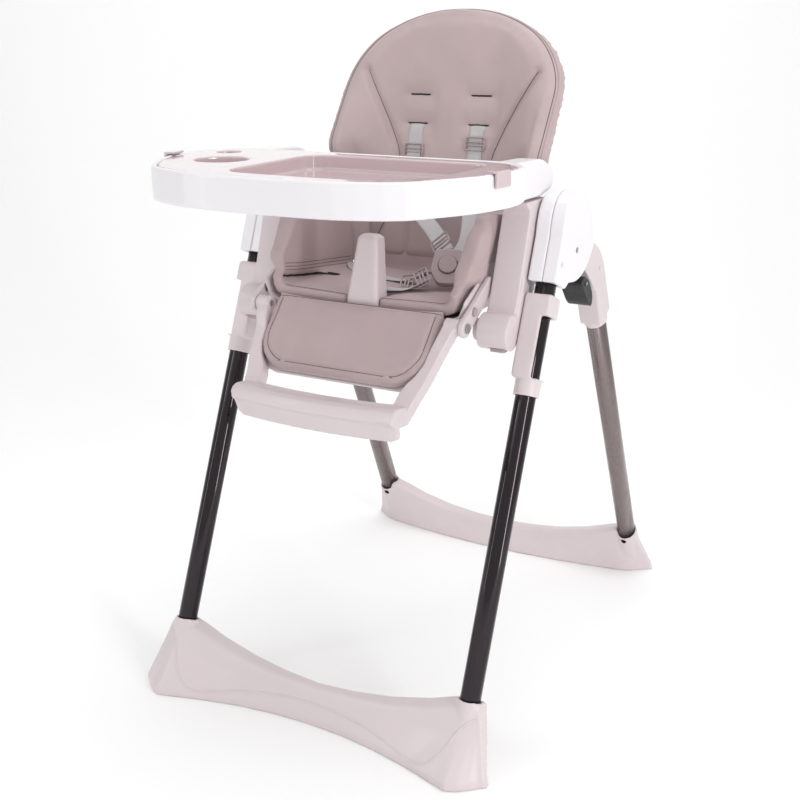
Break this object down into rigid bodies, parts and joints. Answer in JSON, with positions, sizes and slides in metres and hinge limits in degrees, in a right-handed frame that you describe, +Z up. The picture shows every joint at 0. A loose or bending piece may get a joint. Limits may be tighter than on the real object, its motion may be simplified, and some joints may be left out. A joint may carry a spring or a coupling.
{
  "type": "folding baby high chair",
  "caption": "Folding baby high chair with bow-shaped feet, height-sliding padded seat, reclining back, adjustable leg rest, sliding tray with lift-out insert and harness.",
  "frame": {"origin": "On the floor, under the middle of the chair's overall width and depth with the tray fitted and pushed in.", "axes": "+Z up, -Y towards the front of the chair (the side the child faces), +X to the right as seen from the front."},
  "size_m": [0.61, 0.9187, 1.0349],
  "materials": {
    "blush": "pale pink moulded plastic, fine satin grain",
    "white": "white moulded plastic, soft gloss",
    "gloss": "dusty pink plastic, high gloss",
    "chrome": "dark polished chrome tube",
    "steel": "grey-brown metallic lacquered tube",
    "leather": "dusty mauve-pink coated fabric, fine leather grain, stitched and piped",
    "web": "light grey woven webbing",
    "mauve": "mauve-grey satin plastic",
    "black": "black plastic, soft gloss",
    "screw": "zinc-plated steel fasteners and pins"
  },
  "bodies": {
    "frame": {"front_foot": "blush", "front_tube_left": "chrome", "front_tube_right": "chrome", "front_foot_screw_left": "screw", "front_foot_screw_right": "screw", "hub_outer_cover_left": "white", "hub_outer_cover_right": "white", "hub_inner_cover_left": "white", "hub_inner_cover_right": "white", "fold_pin_left": "screw", "fold_pin_right": "screw", "hub_screw_left": "screw", "hub_screw_right": "screw"},
    "rear_frame": {"rear_foot": "blush", "rear_tube_left": "steel", "rear_tube_right": "steel", "rear_foot_screw_left": "screw", "rear_foot_screw_right": "screw", "rear_casting_left": "blush", "rear_casting_right": "blush"},
    "fold_release_left": {"fold_trigger_left": "black", "fold_lock_pin_left": "screw"},
    "fold_release_right": {"fold_trigger_right": "black", "fold_lock_pin_right": "screw"},
    "carriage": {"seat_cross_tube": "chrome", "seat_shell": "blush", "seat_pad": "leather", "crotch_post": "blush", "crotch_strap": "web", "buckle_body": "mauve", "slider_left": "blush", "slider_right": "blush", "armrest_left": "blush", "armrest_right": "blush", "side_bracket_left": "blush", "side_bracket_right": "blush", "legrest_bolt_left": "screw", "legrest_bolt_right": "screw", "recline_pin_left": "screw", "recline_pin_right": "screw", "lap_strap_left": "web", "lap_strap_right": "web"},
    "height_release_left": {"height_button_left": "mauve"},
    "height_release_right": {"height_button_right": "mauve"},
    "legrest_release_left": {"legrest_button_left": "mauve"},
    "legrest_release_right": {"legrest_button_right": "mauve"},
    "buckle_release": {"buckle_button": "mauve"},
    "backrest": {"backrest_shell": "blush", "backrest_pad": "leather", "shoulder_strap_left": "web", "shoulder_strap_right": "web"},
    "recline_release": {"recline_lever": "blush"},
    "legrest": {"legrest_frame": "blush", "legrest_pad": "leather"},
    "tray": {"tray_base": "white"},
    "tray_release_left": {"tray_lever_left": "mauve"},
    "tray_release_right": {"tray_lever_right": "mauve"},
    "food_tray": {"tray_insert": "gloss", "tray_clip_left": "gloss", "tray_clip_right": "gloss"}
  },
  "joints": [
    {"name": "rear_leg_fold", "type": "hinge", "parent": "frame", "child": "rear_frame", "pos_m": [0, -0.038, 0.735], "axis": [1, 0, 0], "range_deg": [-41, 0]},
    {"name": "fold_trigger_left_press", "type": "slide", "parent": "rear_frame", "child": "fold_release_left", "axis": [1, 0, 0], "range_m": [0, 0.004], "stiffness_N_per_m": 700, "springref_m": -0.003},
    {"name": "fold_trigger_right_press", "type": "slide", "parent": "rear_frame", "child": "fold_release_right", "axis": [-1, 0, 0], "range_m": [0, 0.004], "stiffness_N_per_m": 700, "springref_m": -0.003},
    {"name": "seat_height", "type": "slide", "parent": "frame", "child": "carriage", "axis": [0, 0.3738, 0.9275], "range_m": [-0.25, 0]},
    {"name": "height_button_left_press", "type": "slide", "parent": "carriage", "child": "height_release_left", "axis": [0, 0, 1], "range_m": [0, 0.004], "stiffness_N_per_m": 500, "springref_m": -0.003},
    {"name": "legrest_button_left_press", "type": "slide", "parent": "carriage", "child": "legrest_release_left", "axis": [1, 0, 0], "range_m": [0, 0.003], "stiffness_N_per_m": 500, "springref_m": -0.003},
    {"name": "height_button_right_press", "type": "slide", "parent": "carriage", "child": "height_release_right", "axis": [0, 0, 1], "range_m": [0, 0.004], "stiffness_N_per_m": 500, "springref_m": -0.003},
    {"name": "legrest_button_right_press", "type": "slide", "parent": "carriage", "child": "legrest_release_right", "axis": [-1, 0, 0], "range_m": [0, 0.003], "stiffness_N_per_m": 500, "springref_m": -0.003},
    {"name": "buckle_press", "type": "slide", "parent": "carriage", "child": "buckle_release", "axis": [-0.2789, 0.7641, -0.5817], "range_m": [0, 0.002], "stiffness_N_per_m": 600, "springref_m": -0.002},
    {"name": "backrest_recline", "type": "hinge", "parent": "carriage", "child": "backrest", "pos_m": [0, 0.054, 0.612], "axis": [-1, 0, 0], "range_deg": [0, 45]},
    {"name": "recline_lever_pull", "type": "hinge", "parent": "backrest", "child": "recline_release", "pos_m": [0, 0.144, 0.948], "axis": [1, 0, 0], "range_deg": [0, 20], "stiffness_Nm_per_rad": 1.2, "springref_deg": -11.46},
    {"name": "legrest_angle", "type": "hinge", "parent": "carriage", "child": "legrest", "pos_m": [0, -0.212, 0.602], "axis": [1, 0, 0], "range_deg": [-50, 38]},
    {"name": "tray_slide", "type": "slide", "parent": "carriage", "child": "tray", "axis": [0, -1, 0], "range_m": [0, 0.09]},
    {"name": "tray_lever_left_squeeze", "type": "hinge", "parent": "tray", "child": "tray_release_left", "pos_m": [-0.2055, -0.142, 0.768], "axis": [1, 0, 0], "range_deg": [0, 12], "stiffness_Nm_per_rad": 0.6, "springref_deg": -11.46},
    {"name": "tray_lever_right_squeeze", "type": "hinge", "parent": "tray", "child": "tray_release_right", "pos_m": [0.2055, -0.142, 0.768], "axis": [1, 0, 0], "range_deg": [0, 12], "stiffness_Nm_per_rad": 0.6, "springref_deg": -11.46},
    {"name": "insert_lift", "type": "slide", "parent": "tray", "child": "food_tray", "axis": [0, -0.025, 0.9997], "range_m": [0, 0.08]}
  ],
  "couplings": [
    {"joint": "tray_lever_right_squeeze", "follows": "tray_lever_left_squeeze", "ratio": 1},
    {"joint": "fold_trigger_right_press", "follows": "fold_trigger_left_press", "ratio": 1},
    {"joint": "height_button_right_press", "follows": "height_button_left_press", "ratio": 1},
    {"joint": "legrest_button_right_press", "follows": "legrest_button_left_press", "ratio": 1}
  ]
}
